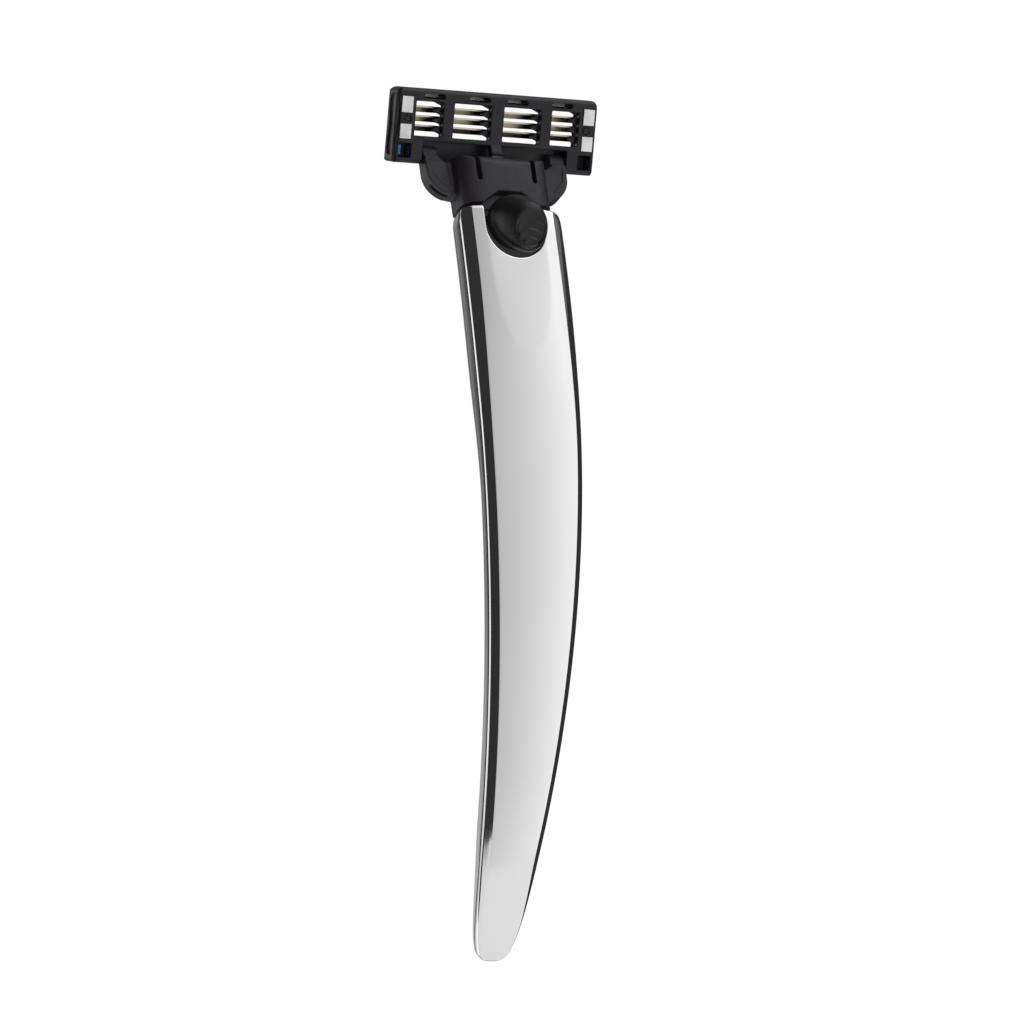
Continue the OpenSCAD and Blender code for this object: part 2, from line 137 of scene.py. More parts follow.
HEAD_ARC = rad(HEAD_SLOPE - JOIN_SLOPE) * HEAD_R
CROWN_LEN = HEAD_ARC + rad(JOIN_SLOPE + TAIL_SLOPE) * CROWN_R
NECK_Y = float(station_y(HEAD_SLOPE)) - NECK_DROP * NECK_SIN
NECK_Z = float(station_z(HEAD_SLOPE)) - NECK_DROP * NECK_COS
PIVOT_A = (PIVOT[1] - NECK_Y) * NECK_COS - (PIVOT[2] - NECK_Z) * NECK_SIN
PIVOT_B = (PIVOT[1] - NECK_Y) * NECK_SIN + (PIVOT[2] - NECK_Z) * NECK_COS


def turn_at(u):
    """Slope of the crown line at a distance u from the head end."""
    u = np.asarray(u, float)
    on_head = HEAD_SLOPE - np.degrees(u / HEAD_R)
    on_crown = JOIN_SLOPE - np.degrees((u - HEAD_ARC) / CROWN_R)
    return np.where(u < HEAD_ARC, on_head, on_crown)


def full_half_w(y):
    """Half width of the handle, before its ends are drawn in."""
    return HALF_W - HALF_W_TAPER * (np.abs(y - WIDEST_Y) / TAPER_LEN) ** TAPER_POWER


def full_thick(y):
    """Thickness of the handle, before its tail is rounded."""
    return (THICK_MID + (THICK_HEAD - THICK_MID) * ease(y / THICK_GROW_LEN)
            - (THICK_MID - THICK_TAIL) * ease((-y - THICK_DROP_START) / THICK_DROP_LEN))


def head_share(y):
    """Share of the head's own flank and crown: 0 on the grip, 1 at the head."""
    return ease((y - HEAD_START) / HEAD_LEN)


def part_depth(y):
    """Depth of the parting line below the crown line."""
    return PART_DEPTH + PART_SHARE * full_thick(y) + HEAD_SAG * head_share(y)


def front_sag(y):
    """How far the edges of the front face lie below its middle."""
    return FACE_SAG * (full_half_w(y) / HALF_W) ** 2 + HEAD_SAG * head_share(y)


def on_handle(turn, x, h):
    """Row-frame points at x across and h above the parting line, in the section at turn."""
    y = station_y(turn)
    b = h - part_depth(y)
    x = x + np.zeros_like(y)
    return np.stack([x, y + b * np.sin(rad(turn)), station_z(turn) + b * np.cos(rad(turn))], -1)


def on_neck(points):
    """Row-frame points from points in the neck frame."""
    p = np.asarray(points, float)
    x, a, b = p[..., 0], p[..., 1], p[..., 2]
    return np.stack([x, NECK_Y + a * NECK_COS + b * NECK_SIN,
                     NECK_Z - a * NECK_SIN + b * NECK_COS], -1)


def on_cart(points):
    """Row-frame points from points in the cartridge frame."""
    p = np.asarray(points, float)
    x, h, d = p[..., 0], p[..., 1], p[..., 2]
    return np.stack([x, CART_Y + h * CART_COS - d * CART_SIN,
                     CART_Z + h * CART_SIN + d * CART_COS], -1)


# ---------- mesh helpers ----------


def catmull(points, per_span):
    """A smooth path through the points, with the ends held."""
    p = np.asarray(points, float)
    p = np.concatenate([[2 * p[0] - p[1]], p, [2 * p[-1] - p[-2]]])
    out = []
    for i in range(1, len(p) - 2):
        for k in range(per_span):
            t = k / per_span
            out.append(0.5 * (2 * p[i] + (p[i + 1] - p[i - 1]) * t
                              + (2 * p[i - 1] - 5 * p[i] + 4 * p[i + 1] - p[i + 2]) * t * t
                              + (3 * p[i] - p[i - 1] - 3 * p[i + 1] + p[i + 2]) * t ** 3))
    out.append(p[-2])
    return np.array(out)


def arc(cx, cy, r, a0, a1, n=12):
    """Points of an arc in n steps, from angle a0 to angle a1."""
    turns = rad(np.linspace(a0, a1, n + 1))
    return [(cx + r * math.cos(t), cy + r * math.sin(t)) for t in turns]


def quad(row, next_row, j, k):
    """A face between points j and k of two neighbouring rows, given where the rows start."""
    return [row + j, row + k, next_row + k, next_row + j]


def link(name, mesh):
    obj = bpy.data.objects.new(name, mesh)
    bpy.context.scene.collection.objects.link(obj)
    return obj


def make_object(name, points, faces, slots=None, sharp=None, unit=MM):
    """An object from points in millimetres. slots gives each face's material slot."""
    mesh = bpy.data.meshes.new(name)
    mesh.from_pydata((np.asarray(points, float) * unit).tolist(), [], faces)
    if slots is not None:
        mesh.polygons.foreach_set("material_index", slots)
    bm = bmesh.new()
    bm.from_mesh(mesh)
    bmesh.ops.remove_doubles(bm, verts=bm.verts, dist=0.002 * unit)
    bmesh.ops.dissolve_degenerate(bm, edges=bm.edges, dist=0.001 * unit)
    bmesh.ops.delete(bm, geom=[v for v in bm.verts if not v.link_faces], context="VERTS")
    bmesh.ops.recalc_face_normals(bm, faces=bm.faces)
    bm.to_mesh(mesh)
    bm.free()
    shade(mesh, sharp)
    return link(name, mesh)


def shade(mesh, sharp=None):
    """Smooth shading, with edges sharper than the angle kept crisp."""
    mesh.shade_smooth()
    if sharp:
        mesh.set_sharp_from_angle(angle=rad(sharp))


def dress(obj, body, slot, materials, *nodes):
    """Puts a piece on its body with its materials, and hides the nodes it stands for. The slot is not used."""
    if obj.data.materials:
        obj.data.materials.clear()
    for material in materials:
        obj.data.materials.append(material)
    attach(obj, body)
    if nodes:
        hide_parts(*nodes)
    return obj


def prism(outline, axis, low, high):
    """A closed prism in millimetres: a flat outline pushed along one axis from low to high."""
    n = len(outline)
    rings = [np.insert([p, q], axis, level) for level in (low, high) for p, q in outline]
    faces = [list(range(n))[::-1], list(range(n, 2 * n))]
    faces += [[i, (i + 1) % n, n + (i + 1) % n, n + i] for i in range(n)]
    return make_object("part", rings, faces, unit=1)


def box(low, high):
    """A box in millimetres from one corner to the other."""
    outline = [(low[0], low[1]), (high[0], low[1]), (high[0], high[1]), (low[0], high[1])]
    return prism(outline, 2, low[2], high[2])


def bar(x0, x1, p, q, r, n=48):
    """A round bar along X, with its middle at p and q on the other two axes."""
    return prism(arc(p, q, r, 0, 360, n)[:-1], 0, *sorted((x0, x1)))


def both(make):
    """The piece that make(side) gives, on both sides of the middle plane."""
    return [make(-1), make(1)]


def evaluated_mesh(obj):
    graph = bpy.context.evaluated_depsgraph_get()
    return bpy.data.meshes.new_from_object(obj.evaluated_get(graph))


def combine(base, others, operation):
    """Joins others to base or cuts them from it, one boolean for each."""
    for other in others:
        step = base.modifiers.new("step", "BOOLEAN")
        step.operation = operation
        step.solver = "MANIFOLD"
        step.object = other
        old = base.data
        base.data = evaluated_mesh(base)
        base.modifiers.clear()
        bpy.data.meshes.remove(old)
        spent = other.data
        bpy.data.objects.remove(other)
        bpy.data.meshes.remove(spent)
    return base


def soften(obj, voxel, rounds, name, place):
    """Remeshes a solid in millimetres, smooths it, which rounds its edges as a mould does, and
    puts it in the row frame in metres."""
    remesh = obj.modifiers.new("remesh", "REMESH")
    remesh.mode = "VOXEL"
    remesh.voxel_size = voxel
    smooth = obj.modifiers.new("smooth", "SMOOTH")
    smooth.factor = 0.5
    smooth.iterations = rounds
    old = obj.data
    obj.data = evaluated_mesh(obj)
    obj.modifiers.clear()
    bpy.data.meshes.remove(old)
    mesh = obj.data
    points = np.empty(3 * len(mesh.vertices))
    mesh.vertices.foreach_get("co", points)
    mesh.vertices.foreach_set("co", (place(points.reshape(-1, 3)) * MM).ravel())
    mesh.update()
    obj.name = name
    shade(mesh)
    return obj


# ---------- materials ----------


def new_material(name, color, rough, metallic=0.0):
    material = bpy.data.materials.new(name)
    material.use_nodes = True
    shader = material.node_tree.nodes["Principled BSDF"]
    shader.inputs["Base Color"].default_value = (*color, 1)
    shader.inputs["Roughness"].default_value = rough
    shader.inputs["Metallic"].default_value = metallic
    return material, material.node_tree, shader


def noise(tree, scale, detail=3.0, stretch=(1, 1, 1)):
    """A noise texture over the piece, with features about 1/scale of a metre."""
    coord = tree.nodes.new("ShaderNodeTexCoord")
    mapping = tree.nodes.new("ShaderNodeMapping")
    mapping.inputs["Scale"].default_value = stretch
    texture = tree.nodes.new("ShaderNodeTexNoise")
    texture.inputs["Scale"].default_value = scale
    texture.inputs["Detail"].default_value = detail
    tree.links.new(coord.outputs["Object"], mapping.inputs["Vector"])
    tree.links.new(mapping.outputs["Vector"], texture.inputs["Vector"])
    return texture.outputs["Fac"]


def spread(tree, value, low, high, start=0.3, end=0.7):
    """Maps a noise value onto a range."""
    node = tree.nodes.new("ShaderNodeMapRange")
    node.inputs["From Min"].default_value = start
    node.inputs["From Max"].default_value = end
    node.inputs["To Min"].default_value = low
    node.inputs["To Max"].default_value = high
    tree.links.new(value, node.inputs["Value"])
    return node.outputs["Result"]


def mottle(tree, shader, value, dark, light):
    """Varies the base colour between two tones."""
    ramp = tree.nodes.new("ShaderNodeValToRGB")
    ramp.color_ramp.elements[0].position = 0.35
    ramp.color_ramp.elements[0].color = (*dark, 1)
    ramp.color_ramp.elements[1].position = 0.65
    ramp.color_ramp.elements[1].color = (*light, 1)
    tree.links.new(value, ramp.inputs["Fac"])
    tree.links.new(ramp.outputs["Color"], shader.inputs["Base Color"])


def relief(tree, shader, value, depth, strength=1.0):
    """A bump of the given depth in metres."""
    bump = tree.nodes.new("ShaderNodeBump")
    bump.inputs["Strength"].default_value = strength
    bump.inputs["Distance"].default_value = depth
    tree.links.new(value, bump.inputs["Height"])
    tree.links.new(bump.outputs["Normal"], shader.inputs["Normal"])


def chrome():
    """Mirror chrome with a trace of haze and of polishing lines along its length."""
    material, tree, shader = new_material("polished_chrome", (0.87, 0.87, 0.87), 0.06, 1.0)
    haze = noise(tree, 55, 4)
    tree.links.new(spread(tree, haze, 0.045, 0.10), shader.inputs["Roughness"])
    mottle(tree, shader, noise(tree, 30, 2), (0.86, 0.86, 0.86), (0.88, 0.88, 0.88))
    relief(tree, shader, noise(tree, 900, 3, (1, 0.06, 1)), 1.2e-7, 0.25)
    return material


def plastic(name, color, rough, grain, depth, coat=0.0):
    """Moulded plastic: slight tone and gloss variation and a fine grain."""
    material, tree, shader = new_material(name, color, rough)
    light = tuple(c * 1.25 for c in color)
    dark = tuple(c * 0.8 for c in color)
    mottle(tree, shader, noise(tree, 260, 4), dark, light)
    gloss = spread(tree, noise(tree, 420, 3), rough * 0.85, rough * 1.2)
    tree.links.new(gloss, shader.inputs["Roughness"])
    relief(tree, shader, noise(tree, grain, 2), depth, 0.6)
    shader.inputs["Specular IOR Level"].default_value = 0.3
    shader.inputs["Coat Weight"].default_value = coat
    shader.inputs["Coat Roughness"].default_value = 0.12
    return material


def rubber(name, color):
    """Matt rubber with a fine, uneven grain."""
    material, tree, shader = new_material(name, color, 0.45)
    dark = tuple(c * 0.7 for c in color)
    light = tuple(c * 1.5 for c in color)
    mottle(tree, shader, noise(tree, 500, 5), dark, light)
    tree.links.new(spread(tree, noise(tree, 700, 3), 0.28, 0.42), shader.inputs["Roughness"])
    relief(tree, shader, noise(tree, 3200, 4), 5e-5, 0.9)
    shader.inputs["Specular IOR Level"].default_value = 0.35
    return material


def metal(name, color, rough, grain, stretch, depth=2e-6):
    """Drawn or ground metal: fine lines along one way."""
    material, tree, shader = new_material(name, color, rough, 1.0)
    lines = noise(tree, grain, 3, stretch)
    dark = tuple(c * 0.88 for c in color)
    light = tuple(min(1, c * 1.08) for c in color)
    mottle(tree, shader, noise(tree, 350, 3), dark, light)
    tree.links.new(spread(tree, lines, rough * 0.8, rough * 1.35), shader.inputs["Roughness"])
    relief(tree, shader, lines, depth, 0.5)
    return material


def support_steel():
    """Straw-coloured strip, with painted reflections: darker bands along its length stand in for uneven
    reflections.
    """
    material, tree, shader = new_material("support_steel", (0.66, 0.60, 0.48), 0.32, 1.0)
    coord = tree.nodes.new("ShaderNodeTexCoord")
    # Painted reflection: a wave of dark and light bands in the base colour stands in for the steel's uneven
    # reflections.
    wave = tree.nodes.new("ShaderNodeTexWave")
    wave.bands_direction = "X"
    wave.wave_profile = "SIN"
    wave.inputs["Scale"].default_value = 31
    wave.inputs["Distortion"].default_value = 0.6
    wave.inputs["Phase Offset"].default_value = 0.4
    tree.links.new(coord.outputs["Object"], wave.inputs["Vector"])
    ramp = tree.nodes.new("ShaderNodeValToRGB")
    ramp.color_ramp.elements[0].position = 0.1
    ramp.color_ramp.elements[0].color = (0.03, 0.028, 0.025, 1)
    ramp.color_ramp.elements[1].position = 0.7
    ramp.color_ramp.elements[1].color = (0.80, 0.74, 0.60, 1)
    tree.links.new(wave.outputs["Fac"], ramp.inputs["Fac"])
    tree.links.new(ramp.outputs["Color"], shader.inputs["Base Color"])
    grain = noise(tree, 3500, 3, (0.03, 1, 1))
    tree.links.new(spread(tree, grain, 0.24, 0.42), shader.inputs["Roughness"])
    relief(tree, shader, grain, 2e-6, 0.5)
    return material


def strip_polymer():
    """Waxy strip, drawn along its length."""
    material, tree, shader = new_material("strip_polymer", (0.24, 0.29, 0.29), 0.45)
    mottle(tree, shader, noise(tree, 900, 4), (0.20, 0.25, 0.25), (0.28, 0.33, 0.32))
    relief(tree, shader, noise(tree, 1500, 3, (0.15, 1, 1)), 1.5e-5, 0.6)
    shader.inputs["Subsurface Weight"].default_value = 0.15
    shader.inputs["Subsurface Radius"].default_value = (0.0006, 0.0006, 0.0006)
    return material


LOOKS = {
    "polished_chrome": chrome(),
    "cast_weight": metal("cast_weight", (0.30, 0.30, 0.31), 0.5, 1500, (1, 1, 1), 2e-5),
    "black_plastic": plastic("black_plastic", (0.018, 0.018, 0.02), 0.5, 5000, 1e-5),
    "yoke_plastic": plastic("yoke_plastic", (0.008, 0.007, 0.009), 0.36, 5200, 1.6e-5),
    "housing_plastic": plastic("housing_plastic", (0.0045, 0.0038, 0.0052), 0.3, 4200, 5e-6, 0.05),
    "button_rubber": rubber("button_rubber", (0.003, 0.003, 0.0033)),
    "spring_steel": metal("spring_steel", (0.55, 0.55, 0.56), 0.28, 3000, (1, 0.1, 1)),
    "blade_steel": metal("blade_steel", (0.78, 0.78, 0.79), 0.2, 4000, (0.03, 1, 1)),
    "support_steel": support_steel(),
    "clip_aluminium": metal("clip_aluminium", (0.92, 0.92, 0.91), 0.42, 2600, (1, 1, 0.2), 4e-6),
    "strip_polymer": strip_polymer(),
    "fin_elastomer": rubber("fin_elastomer", (0.10, 0.28, 0.50)),
}
# Painted shade: a dark plastic put on the chrome shells' groove and inner faces, so the parting gap reads dark.
groove_painted_shade = plastic("groove_painted_shade", (0.006, 0.006, 0.007), 0.6, 3000, 5e-6)

# ---------- the two shells ----------

# The sloping flank of the front shell: shares of its width, of the lip and of its height
FLANK_SHARES = catmull([[0, 0, 0], [0, 0.7, 0], [0.03, 1, 0], [0.32, 1, 0.42], [0.66, 1, 0.76],
                        [0.92, 1, 0.95], [1, 1, 1]], 5)


def handle_rows():
    """Sections from head to tail: distance at the flank, distance at the middle, polar turn
    round the recess (or None behind it), inset of the rounded head end."""
    rows = []
    for i in range(9):
        turn = rad(90 * i / 8)
        u = END_ROUND * (1 - math.cos(turn))
        rows.append((u, u, 0.0, END_ROUND * (1 - math.sin(turn))))
    for u in np.linspace(END_ROUND, RECESS_U, 8)[1:-1]:
        rows.append((u, u, 0.0, 0.0))
    rim = RECESS_R + RIM_ROUND
    for i in range(25):
        turn = 90 * i / 24
        flank = RECESS_U + (rim + 1.0) * turn / 90
        middle = RECESS_U + rim * math.sin(rad(turn))
        rows.append((flank, middle, turn, 0.0))
    gap = flank - middle
    tip = CROWN_LEN - TIP_LEN
    count = 190
    for i in range(1, count + 1):
        share = i / count
        u = flank + (tip - flank) * (0.55 * share + 0.45 * share * share)
        rows.append((u, u - gap * math.exp(-3.0 * (u - flank)), None, 0.0))
    for i in range(1, 15):
        u = tip + TIP_LEN * math.sin(rad(6.2 * i))
        rows.append((u, u, None, 0.0))
    return rows


def corner(u):
    """How far the head end's corners are drawn in at a distance u from the end."""
    return CORNER_IN * (1 - np.minimum(u / CORNER_LEN, 1)) ** 2


def half_width(y, u, inset):
    """Half width of the handle, drawn in at both ends."""
    left = np.maximum(CROWN_LEN - u, 0)
    nose = 1 - np.sqrt(1 - (1 - np.minimum(left / NOSE_LEN, 1)) ** 2)
    return full_half_w(y) - TIP_IN * np.exp(-left / TIP_IN_LEN) - NOSE_IN * nose - inset - corner(u)


def flank_width(y, u, w):
    """Width of the front shell's sloping flank, w being the half width there."""
    narrow = 1 - FLANK_FADE * ease((u - CROWN_LEN + FLANK_FADE_START) / FLANK_FADE_LEN)
    return np.minimum((FLANK_W + FLANK_HEAD * head_share(y)) * narrow - corner(u), 0.5 * w)


def tip_scale(u):
    """Share of the full thickness that the round end of the tail keeps."""
    left = np.clip((CROWN_LEN - u) / TIP_LEN, 0, 1)
    return np.maximum(0.06, np.sqrt(1 - (1 - left) ** 2))


def scoop(x, u):
    """Depth of the soft hollow that runs down the face from the button."""
    along = np.clip((u - SCOOP_START) / SCOOP_LEN, 0, 1)
    width = SCOOP_HALF_W * (1 - along ** 2.6) ** 0.6 + 0.05
    depth = SCOOP_DEPTH * (1 - along) ** 1.15 * ease((u - 3.0) / 7.0)
    across = np.clip(1 - (x / width) ** 2, 0, 1)
    return depth * across ** 1.2


def front_face(x, u, inset):
    """Height of the front face above the parting line."""
    y = station_y(turn_at(u))
    scale = tip_scale(u)
    w = half_width(y, u, inset)
    h = part_depth(y) * scale - inset
    sag = front_sag(y) * np.minimum(1, h / 2)
    edge = w - flank_width(y, u, w)
    return h - sag * (x / edge) ** 2 - scoop(x, u)


def hollow_share(u):
    """Share of the full hollow inside the shells, which closes towards the tail."""
    return ease((CROWN_LEN - u - HOLLOW_START) / (HOLLOW_FULL - HOLLOW_START))


def rim_wall(u_rim, x_rim, rim_turn, top, bottom):
    """Points round the recess's rim and down its wall."""
    inward_x, inward_u = math.cos(rad(rim_turn)), math.sin(rad(rim_turn))
    steps = [(RIM_ROUND * math.sin(step), RIM_ROUND * (1 - math.cos(step)))
             for step in rad(np.linspace(0, 90, 7))[1:]]
    steps += [(RIM_ROUND, RIM_ROUND + (top - RIM_ROUND - bottom) * k / 3) for k in (1, 2, 3)]
    return [on_handle(turn_at(u_rim - along * inward_u),
                      max(0.0, x_rim - along * inward_x), top - fall) for along, fall in steps]


def front_half_section(row):
    """Points of half a section, from the parting line over the face to the recess or the
    middle, down its wall, and back under the face. Also where the wall starts and ends."""
    u_flank, u_mid, rim_turn, inset = row
    turn = turn_at(u_flank)
    y = float(station_y(turn))
    w = float(half_width(y, u_flank, inset))
    h = part_depth(y) * float(tip_scale(u_flank)) - inset
    sag = front_sag(y) * min(1, h / 2)
    flank = float(flank_width(y, u_flank, w))
    drop = min(0.6 + 0.4 * flank, 0.6 * (h - sag))
    lip = h - sag - drop
    groove = min(GROOVE_FRONT, 0.3 * lip)
    points = [on_handle(turn, w - GROOVE_DEPTH, SEAM), on_handle(turn, w - GROOVE_DEPTH, groove)]
    for out, up, rise in FLANK_SHARES:
        points.append(on_handle(turn, w - flank * out, groove + (lip - groove) * up + drop * rise))
    # Across the face
    if rim_turn is None:
        x_rim, u_rim = 0.0, u_mid
    else:
        x_rim = (RECESS_R + RIM_ROUND) * math.cos(rad(rim_turn))
        u_rim = u_flank if rim_turn == 0 else u_mid
    rim_turn = rim_turn or 0.0
    shares = np.linspace(0, 1, 31)[1:]
    x = (w - flank) + (x_rim - (w - flank)) * shares
    u = u_flank + (u_rim - u_flank) * ease(shares)
    points += list(on_handle(turn_at(u), x, front_face(x, u, inset)))
    wall_start = len(points) - 1
    inner_h = float(max(SEAM, (h + inset - front_sag(y) - WALL) * hollow_share(u_flank)))
    points += rim_wall(u_rim, x_rim, rim_turn, float(front_face(x_rim, u_rim, inset)), inner_h)
    wall_end = len(points) - 1
    # Back under the face
    inner_w = max(0.3 * w, w - WALL - 0.1 + inset)
    x_in = max(0.0, x_rim - RIM_ROUND * math.cos(rad(rim_turn)))
    u_in = u_rim - RIM_ROUND * math.sin(rad(rim_turn))
    for share in np.linspace(0, 1, 9)[1:-1]:
        u_under = u_in + (u_flank - u_in) * float(ease(share))
        points.append(on_handle(turn_at(u_under), x_in + (inner_w - x_in) * share, inner_h))
    points.append(on_handle(turn, inner_w, inner_h * 0.6))
    points.append(on_handle(turn, inner_w, SEAM))
    return np.array([np.ravel(p) for p in points]), wall_start, wall_end


def front_shell():
    """Both halves of the front casing. The second material is painted shade, darkening the groove and the inside.
    """
    rows = handle_rows()
    sections = [front_half_section(row) for row in rows]
    wall_start, wall_end = sections[0][1], sections[0][2]
    n = len(sections[0][0])
    points, faces, slots = [], [], []
    for side in (1, -1):
        base = len(points)
        for section, _, _ in sections:
            points += (section * [side, 1, 1]).tolist()
        for i in range(len(rows) - 1):
            open_row = rows[i + 1][2] is not None
            for j in range(n):
                if wall_start <= j < wall_end and not open_row:
                    continue
                faces.append(quad(base + i * n, base + (i + 1) * n, j, (j + 1) % n))
                # Slot 1 is painted shade on the groove and the inside.
                slots.append(1 if j < 2 or j >= wall_end else 0)
        faces.append([base + j for j in range(n)])
        slots.append(0)
        last = base + (len(rows) - 1) * n
        faces.append([last + j for j in range(n) if not wall_start < j < wall_end])
        slots.append(0)
    return make_object("front_shell_skin", points, faces, slots, 32)


def rear_half_section(u, inset):
    """Points of half a section, from the parting line round the back to the middle, then
    back inside."""
    turn = turn_at(u)
    y = float(station_y(turn))
    scale = float(tip_scale(u))
    w = float(half_width(y, u, inset))
    h = (full_thick(y) - part_depth(y)) * scale - inset
    sag = BACK_SAG * (w / HALF_W) ** 2 * min(1, h / 2)
    r = min(REAR_EDGE_R, 0.5 * h, 0.5 * w)
    groove = min(GROOVE_REAR, 0.2 * h)
    tilt = math.atan2(2 * sag, w - r)
    centre = h - sag - r * math.cos(tilt)
    lean = FLANK_LEAN * centre
    flat_x = w - lean - r + r * math.sin(tilt)
    outline = [(w - GROOVE_DEPTH, SEAM), (w - GROOVE_DEPTH, groove), (w - LIP_EDGE, groove),
               (w, groove + LIP_EDGE)]
    for share in (0.12, 0.3, 0.5, 0.7, 0.9):
        outline.append((w - lean * share ** 1.35, groove + (centre - groove) * share))
    for step in np.linspace(0, math.pi / 2 - tilt, 15):
        outline.append((w - lean - r + r * math.cos(step), centre + r * math.sin(step)))
    for share in np.linspace(1, 0, 13)[1:]:
        outline.append((flat_x * share, h - sag * share * share))
    inner_w = max(0.3 * w, w - WALL - 0.1 + inset)
    inner_h = max(SEAM, (h + inset - BACK_SAG * (w / HALF_W) ** 2 - WALL) * float(hollow_share(u)))
    for share in (0, 0.5, 0.9):
        outline.append((inner_w * share, inner_h))
    outline += [(inner_w, inner_h * 0.85), (inner_w, SEAM)]
    return np.array([on_handle(turn, x, -z) for x, z in outline]).reshape(-1, 3)


def rear_shell():
    """Both halves of the rear casing, which meet on the middle plane."""
    rows = [(row[0], row[3]) for row in handle_rows()]
    sections = [rear_half_section(u, inset) for u, inset in rows]
    n = len(sections[0])
    inner_count = 5
    middle = n - inner_count - 1
    points, faces, slots = [], [], []
    for side in (1, -1):
        base = len(points)
        for section in sections:
            points += (section * [side, 1, 1]).tolist()
        for i in range(len(rows) - 1):
            for j in range(n):
                if j == middle:
                    continue
                faces.append(quad(base + i * n, base + (i + 1) * n, j, (j + 1) % n))
                # Slot 1 is painted shade on the groove and the inside.
                slots.append(1 if j < 2 or j > middle else 0)
        for end in (0, len(rows) - 1):
            faces.append([base + end * n + j for j in range(n)])
            slots.append(0)
    return make_object("rear_shell_skin", points, faces, slots, 32)


CASING = [LOOKS["polished_chrome"], groove_painted_shade]
dress(front_shell(), "handle", "polished_chrome", CASING, "front_shell")
dress(rear_shell(), "handle", "polished_chrome", CASING, "rear_shell")

# ---------- the release button ----------

# Front point, rear point and half width of each ring, from foot to rim, in the neck frame
BUTTON_RINGS = [
    [1.3, 2.9, -8.5, 2.9, 4.8], [1.8, 3.5, -9.0, 3.5, 5.1], [1.9, 4.5, -9.5, 4.5, 5.25],
    [1.35, 6.3, -10.2, 5.6, 5.28], [0.3, 8.3, -10.9, 6.7, 5.1], [-1.1, 10.3, -11.5, 7.7, 4.65],
    [-2.55, 11.9, -11.9, 8.5, 4.05], [-3.7, 12.85, -12.05, 9.1, 3.55],
    [-4.7, 13.15, -11.9, 9.45, 3.25], [-5.4, 12.95, -11.5, 9.45, 3.0]]
# Depth of the thumb pad's dish, and its crescent grip steps: radius and height
PAD_DISH = 0.3
RIDGES = [(1.8, 0.32), (3.4, 0.3), (5.0, 0.22)]


def pad_height(along, x):
    """Height that the crescent grip steps add to the thumb pad's dish."""
    reach = np.hypot(along + 3.3, x)
    return sum(height / (1 + np.exp((reach - r) * 14)) for r, height in RIDGES)


def button():
    """The button's body in rings, closed by its pad."""
    rings = catmull(BUTTON_RINGS, 6)
    columns = 96
    turn = np.linspace(0, 2 * np.pi, columns, endpoint=False)
    points, faces = [], []
    for fa, fb, ra, rb, q in rings:
        along = np.cos(turn)
        across = np.sin(turn)
        a = (fa + ra) / 2 + (fa - ra) / 2 * along
        b = (fb + rb) / 2 + (fb - rb) / 2 * along
        points.append(np.stack([q * across, a, b], -1))
    fa, fb, ra, rb, q = rings[-1]
    half = math.hypot(fa - ra, fb - rb) / 2
    forward = np.array([(fa - ra) / 2 / half, (fb - rb) / 2 / half])
    up = np.array([-forward[1], forward[0]])
    for share in np.linspace(1, 0, 26)[1:]:
        s, x = half * share * np.cos(turn), q * share * np.sin(turn)
        lift = -PAD_DISH * (1 - share ** 2) + pad_height(s, x) * ease((1 - share) * 6)
        a = (fa + ra) / 2 + forward[0] * s + up[0] * lift
        b = (fb + rb) / 2 + forward[1] * s + up[1] * lift
        points.append(np.stack([x, a, b], -1))
    count = len(points)
    for i in range(count - 1):
        for j in range(columns):
            faces.append(quad(i * columns, (i + 1) * columns, j, (j + 1) % columns))
    faces.append(list(range(columns))[::-1])
    return make_object("thumb_button", on_neck(np.concatenate(points)), faces, None, 50)


thumb_button = dress(button(), "button_carriage", "button_rubber", [LOOKS["button_rubber"]],
                     "release_button")
# The chrome behind the button stays clean
thumb_button.visible_glossy = False

# ---------- the yoke ----------

YOKE_HALF_W, ARM_START, ARM_HALF_SPAN, ARM_R, PIN_R = 9.2, 11.7, 14.6, 1.35, 1.0
SLIT_X, SLIT_HALF_W = 5.7, 0.45


